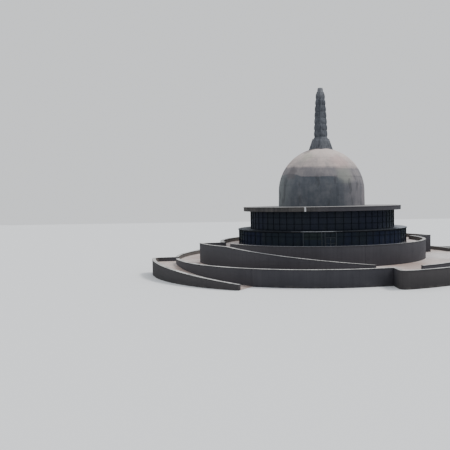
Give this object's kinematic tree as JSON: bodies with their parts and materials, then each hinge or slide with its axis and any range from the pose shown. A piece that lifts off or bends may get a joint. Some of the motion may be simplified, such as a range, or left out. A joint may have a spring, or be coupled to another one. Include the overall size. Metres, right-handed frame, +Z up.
{
  "type": "stupa, 1:10 scale model",
  "caption": "Round stupa with curved ramps, ring terraces, a glazed round hall, a dome and a square tiered spire",
  "frame": {"origin": "centre of the ground plan, at ground level", "axes": "+Z up; -Y is the side that faces the viewer, +X is to its right"},
  "size_m": [11.2436, 10.82, 6.114],
  "materials": {
    "paving": "light worn paving on the terraces and ramps",
    "render": "dark grey wall render, weather stained",
    "glazing": "near-black blue tinted glazing",
    "ledge": "light grey ledge",
    "slab": "grey rendered roof edge",
    "cement": "weathered cement with dark streaks",
    "spire": "bluish grey weathered stone"
  },
  "bodies": {
    "root": {"lower_terrace_mass": "paving", "front_lower_wall": "render", "front_left_ramp_inner_wall": "render", "front_left_ramp": "paving", "front_left_ramp_outer_wall": "render", "front_right_ramp_inner_wall": "render", "front_right_ramp": "paving", "front_right_ramp_outer_wall": "render", "front_side_wall": "render", "back_lower_wall": "render", "back_left_ramp_inner_wall": "render", "back_left_ramp": "paving", "back_left_ramp_outer_wall": "render", "back_right_ramp_inner_wall": "render", "back_right_ramp": "paving", "back_right_ramp_outer_wall": "render", "back_side_wall": "render", "upper_terrace_mass": "paving", "front_upper_ramp": "paving", "front_upper_ramp_outer_wall": "render", "front_upper_wall": "render", "front_upper_side_wall": "render", "back_upper_ramp": "paving", "back_upper_ramp_outer_wall": "render", "back_upper_wall": "render", "back_upper_side_wall": "render", "front_hall_glazing": "glazing", "front_drum_glazing": "glazing", "back_hall_glazing": "glazing", "back_drum_glazing": "glazing", "hall_roof_ledge": "ledge", "roof_slab": "slab", "dome_drum": "cement", "dome_shell": "cement", "spire_foot": "spire", "spire_collar": "spire", "spire_tier_1": "spire", "spire_tier_2": "spire", "spire_tier_3": "spire", "spire_tier_4": "spire", "spire_tier_5": "spire", "spire_tier_6": "spire", "spire_tier_7": "spire", "spire_tip": "spire"}
  },
  "joints": []
}
